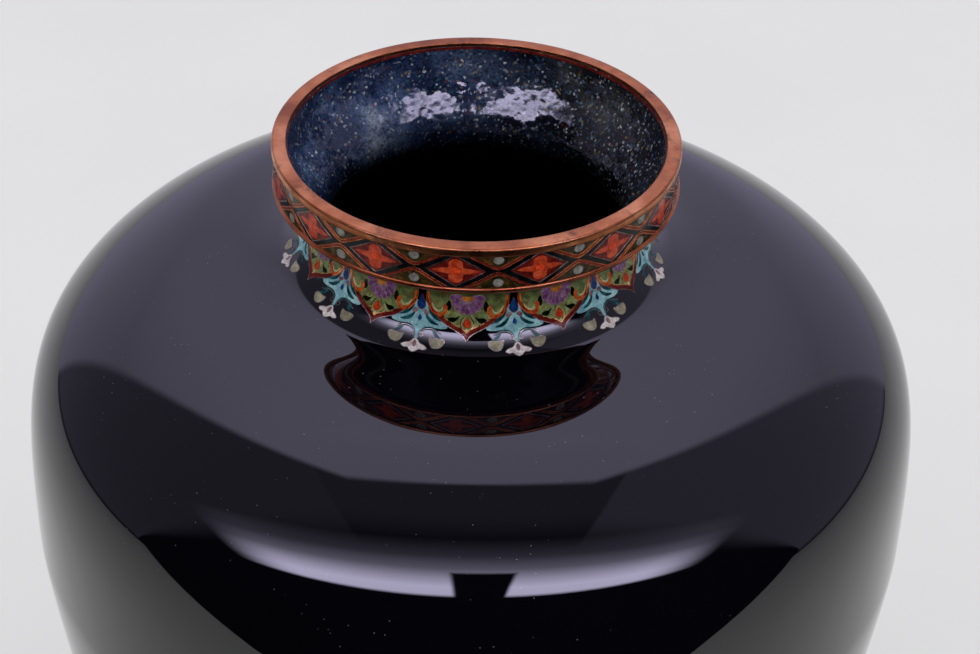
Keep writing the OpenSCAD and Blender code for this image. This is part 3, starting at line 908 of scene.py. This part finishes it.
class Sky:
    """Short ways of adding the nodes of the studio's light."""

    def __init__(self, tree):
        self.tree = tree

    def math(self, operation, one, two=0.0):
        node = self.tree.nodes.new("ShaderNodeMath")
        node.operation = operation
        for socket, value in zip(node.inputs, (one, two)):
            if isinstance(value, bpy.types.NodeSocket):
                self.tree.links.new(value, socket)
            else:
                socket.default_value = value
        return node.outputs["Value"]

    def step(self, value, low, high, from_value=0.0, to_value=1.0):
        """Goes smoothly from one value to another between low and high."""
        node = self.tree.nodes.new("ShaderNodeMapRange")
        node.interpolation_type = "SMOOTHSTEP"
        node.inputs["From Min"].default_value = low
        node.inputs["From Max"].default_value = high
        node.inputs["To Min"].default_value = from_value
        node.inputs["To Max"].default_value = to_value
        self.tree.links.new(value, node.inputs["Value"])
        return node.outputs["Result"]

    def curve(self, value, stops):
        node = self.tree.nodes.new("ShaderNodeFloatCurve")
        node.mapping.extend = "HORIZONTAL"
        points = node.mapping.curves[0].points
        while len(points) < len(stops):
            points.new(0.5, 0.5)
        for point, place in zip(points, stops):
            point.location = place
            point.handle_type = "VECTOR"
        node.mapping.update()
        self.tree.links.new(value, node.inputs["Value"])
        return node.outputs["Value"]

    def colour(self, factor, one, two, way="MIX"):
        node = self.tree.nodes.new("ShaderNodeMix")
        node.data_type = "RGBA"
        node.blend_type = way
        for socket, value in ((node.inputs[0], factor), (node.inputs[6], one), (node.inputs[7], two)):
            if isinstance(value, bpy.types.NodeSocket):
                self.tree.links.new(value, socket)
            else:
                socket.default_value = value
        return node.outputs[2]


BACK_LEVEL = 1.32
LEFT_LEVEL = 0.2
RIGHT_LEVEL = 0.32
FAINT_LEVEL = 0.17
DARK_LEVEL = 0.01
STRIP_LEVEL = 9.0
DIFFUSE_LEVEL = 0.56
REFLECTED_TINT = (1.02, 0.95, 1.34, 1.0)
LOWEST_UP = 0.004


def back_edge(sky, apart):
    """How far back the tent's bright part begins: straight in the middle, slanting at the sides."""
    return sky.math("MAXIMUM", 0.09, sky.math("SUBTRACT", sky.math("MULTIPLY", apart, 0.8), 0.15))


def back_light(sky, height):
    """The tent's bright back and roof, dimmer near the horizon."""
    light = sky.curve(height, [(0.0, 0.42), (0.45, 0.5), (0.7, 0.78), (0.88, 1.0), (1.0, 1.0)])
    return sky.math("MULTIPLY", light, BACK_LEVEL)


def side_light(sky, across, along, apart, height):
    """The tent's dim sides, a little brighter on the right."""
    low_edge = sky.math("ADD", along, sky.math("MULTIPLY", apart, 0.15))
    light = sky.math("MULTIPLY", sky.step(low_edge, -0.45, -0.08), sky.step(apart, 0.36, 0.39))
    light = sky.math("MULTIPLY", light, sky.step(across, -0.2, 0.4, LEFT_LEVEL, RIGHT_LEVEL))
    return sky.math("MULTIPLY", light, sky.step(height, -0.06, 0.0))


def strip_light(sky, across, apart, run):
    """Two soft strips outside the opening, with a dark gap between their far halves."""
    light = sky.curve(run, [(0.0, 0.0), (0.3, 0.0), (0.45, 0.05), (0.58, 0.2), (0.7, 0.6), (0.82, 0.95),
                            (0.94, 0.9), (1.0, 0.0)])
    light = sky.math("MULTIPLY", light, sky.step(apart, 0.9, 1.5, STRIP_LEVEL, 0.0))
    from_gap = sky.math("ABSOLUTE", sky.math("SUBTRACT", across, 0.06))
    gap = sky.math("MAXIMUM", sky.step(from_gap, 0.12, 0.15), sky.step(run, 0.6, 0.64, 1.0, 0.0))
    return sky.math("MULTIPLY", light, gap)


def make_world():
    """A white tent open at the front: a bright back and roof, dim sides, and two soft strips of
    light outside the opening. Places in it are across and along a roof one unit up. The polish
    reflects it, and everything else is lit evenly."""
    world = bpy.data.worlds.new("studio")
    bpy.context.scene.world = world
    world.use_nodes = True
    tree = world.node_tree
    sky = Sky(tree)
    where = tree.nodes.new("ShaderNodeTexCoord")
    split = tree.nodes.new("ShaderNodeSeparateXYZ")
    tree.links.new(where.outputs["Generated"], split.inputs["Vector"])
    height = split.outputs["Z"]
    up = sky.math("MAXIMUM", height, LOWEST_UP)
    across = sky.math("DIVIDE", split.outputs["X"], up)
    along = sky.math("DIVIDE", split.outputs["Y"], up)
    apart = sky.math("ABSOLUTE", across)

    past = sky.math("SUBTRACT", along, back_edge(sky, apart))
    back = sky.step(sky.math("DIVIDE", past, sky.math("ADD", apart, 0.4)), -0.03, 0.05)
    bow = sky.math("MULTIPLY", sky.math("MULTIPLY", across, across), 0.12)
    run = sky.math("MULTIPLY", sky.math("SUBTRACT", bow, along), 0.88)
    faint = sky.step(run, 0.1, 0.4, FAINT_LEVEL, DARK_LEVEL)
    near = sky.math("MAXIMUM", side_light(sky, across, along, apart, height), faint)
    front = sky.math("ADD", near, strip_light(sky, across, apart, run))
    light = sky.math("ADD", sky.math("MULTIPLY", back, back_light(sky, height)),
                     sky.math("MULTIPLY", sky.math("SUBTRACT", 1.0, back), front))

    seen = tree.nodes.new("ShaderNodeLightPath")
    tinted = sky.colour(1.0, light, REFLECTED_TINT, "MULTIPLY")
    even = (DIFFUSE_LEVEL, DIFFUSE_LEVEL, DIFFUSE_LEVEL, 1.0)
    room = sky.colour(seen.outputs["Is Glossy Ray"], even, tinted)
    tree.links.new(room, tree.nodes["Background"].inputs["Color"])


def make_lights():
    """A wide soft light overhead, which the polish doesn't reflect."""
    side = 2.4
    radiance = 1.6
    data = bpy.data.lights.new("fill_from_above", "AREA")
    data.shape = "SQUARE"
    data.size = side
    data.energy = radiance * math.pi * side * side
    light = bpy.data.objects.new("fill_from_above", data)
    light.location = (0.0, -0.1, 2.4)
    target = Vector((0, 0, 0.2))
    light.rotation_euler = (target - light.location).to_track_quat("-Z", "Y").to_euler()
    light.visible_glossy = False
    light.visible_camera = False
    bpy.context.scene.collection.objects.link(light)


def make_camera():
    """Looks down at the rim from the front. Angles are in radians, places in metres."""
    place = (0, -0.33936, 0.45209)
    yaw = 0.00979
    pitch = 0.62626
    roll = 0.0244
    forward = Vector((math.sin(yaw) * math.cos(pitch), math.cos(yaw) * math.cos(pitch), -math.sin(pitch)))
    right = Vector((math.cos(yaw), -math.sin(yaw), 0))
    up = right.cross(forward)
    rolled_right = right * math.cos(roll) + up * math.sin(roll)
    rolled_up = up * math.cos(roll) - right * math.sin(roll)
    data = bpy.data.cameras.new("camera")
    data.lens = 82.7
    data.shift_x = -0.0012
    data.sensor_width = 36
    data.clip_start = 0.01
    camera = bpy.data.objects.new("camera", data)
    turn = Matrix((rolled_right, rolled_up, -forward)).transposed().to_4x4()
    camera.matrix_world = Matrix.Translation(place) @ turn
    bpy.context.scene.collection.objects.link(camera)
    bpy.context.scene.camera = camera


def paint_kept_nodes():
    """The hidden copper, the base and the floor of the lining keep their CAD shapes."""
    finishes = {"copper_neck": COPPER, "copper_shoulder": COPPER, "copper_body": COPPER,
                "base_disc": COPPER, "lining_floor": COUNTER, "base_enamel": BASE_ENAMEL}
    for name, material in finishes.items():
        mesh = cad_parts[name].data
        mesh.materials.clear()
        mesh.materials.append(material)


make_rim()
make_bead()
make_foot()
make_shells()
make_band()
make_lappets()
make_pendants()
paint_kept_nodes()
make_floor()
make_world()
make_lights()
make_camera()
bpy.context.scene.view_settings.view_transform = "Standard"
